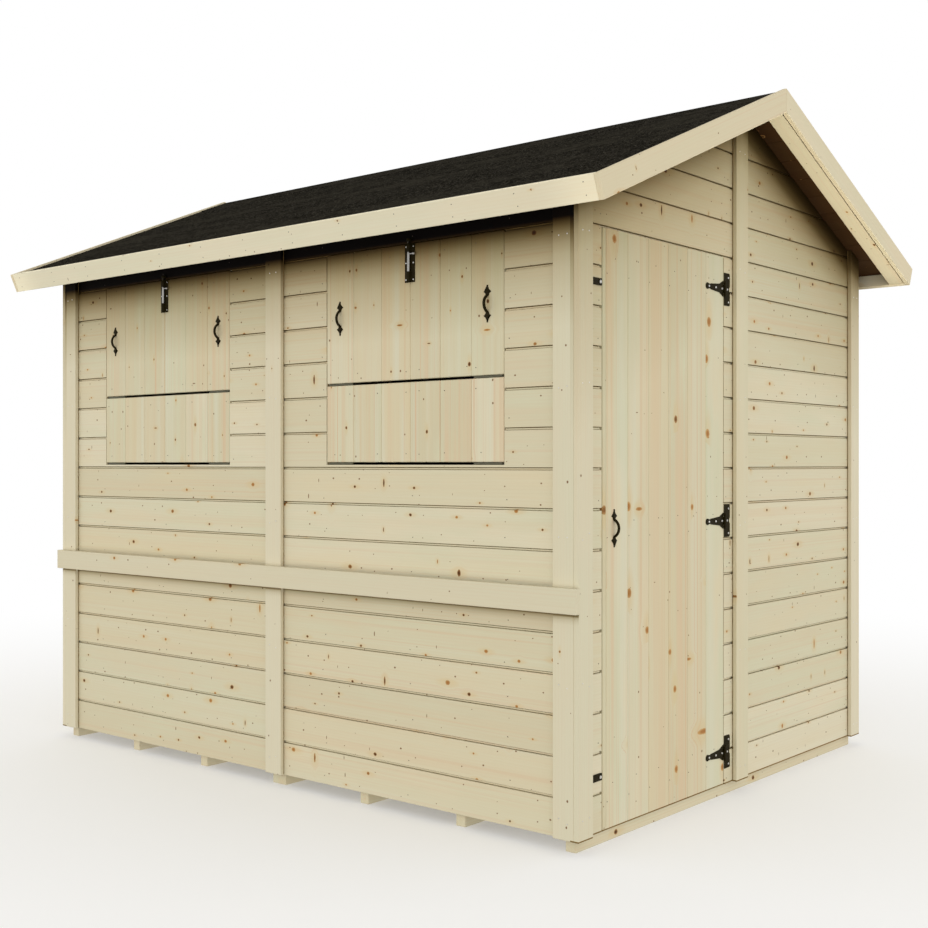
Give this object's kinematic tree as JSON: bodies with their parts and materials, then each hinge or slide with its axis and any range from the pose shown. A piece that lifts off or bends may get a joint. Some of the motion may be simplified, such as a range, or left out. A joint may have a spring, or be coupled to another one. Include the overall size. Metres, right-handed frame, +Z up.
{
  "type": "bar shed",
  "caption": "Boarded timber bar shed with an apex felt roof, a boarded door in the gable, folding serving hatches and a bar ledge.",
  "frame": {"origin": "on the ground, under the middle of the roof", "axes": "+X along the ridge to the door gable, -Y to the bar front, +Z up"},
  "size_m": [2.748, 2.106, 2.2379],
  "materials": {
    "boards": "matte pressure treated softwood boards",
    "frame_timber": "sawn softwood",
    "trim_timber": "planed pale softwood",
    "felt": "mineral bitumen felt",
    "black_iron": "black coated steel",
    "bright_steel": "zinc plated",
    "hinge_olive": "dull brass coated steel"
  },
  "bodies": {
    "root": {"floor_bearers": "boards", "floor_boards": "frame_timber", "front_wall_lower": "boards", "front_wall_ends": "boards", "front_wall_middle": "boards", "front_wall_top": "boards", "front_frame": "frame_timber", "back_wall": "boards", "back_frame": "frame_timber", "door_wall_strips": "boards", "door_wall_panel": "boards", "door_wall_gable": "boards", "door_wall_frame": "frame_timber", "plain_wall": "boards", "plain_wall_frame": "frame_timber", "front_trims": "trim_timber", "back_trims": "trim_timber", "gable_corner_trims": "trim_timber", "gable_centre_trims": "trim_timber", "bar_ledge": "trim_timber", "hatch_flaps": "boards", "hatch_panels": "boards", "hatch_rails": "frame_timber", "hatch_hinges": "hinge_olive", "hatch_handles": "black_iron", "tower_bolts": "black_iron", "bolt_rods": "bright_steel", "door_hinge_plates": "black_iron", "turn_button_screws": "bright_steel", "front_roof_boards": "frame_timber", "back_roof_boards": "frame_timber", "roof_edge_battens": "boards", "ridge_beam": "frame_timber", "purlins": "frame_timber", "front_felt": "felt", "back_felt": "felt", "front_fascia": "trim_timber", "back_fascia": "trim_timber", "front_barge_boards": "trim_timber", "back_barge_boards": "trim_timber"},
    "door": {"door_leaf": "boards", "door_ledges": "frame_timber", "door_hinge_straps": "black_iron", "door_handle": "black_iron"},
    "upper_button": {"upper_turn_button": "black_iron"},
    "lower_button": {"lower_turn_button": "black_iron"}
  },
  "joints": [
    {"name": "door_hinge", "type": "hinge", "parent": "root", "child": "door", "pos_m": [1.2088, -0.0955, 0.8755], "axis": [0, 0, 1], "range_deg": [0, 160]},
    {"name": "upper_button_pivot", "type": "hinge", "parent": "root", "child": "upper_button", "pos_m": [1.2065, -0.799, 1.558], "axis": [1, 0, 0], "continuous": true},
    {"name": "lower_button_pivot", "type": "hinge", "parent": "root", "child": "lower_button", "pos_m": [1.2065, -0.799, 0.193], "axis": [1, 0, 0], "continuous": true}
  ]
}
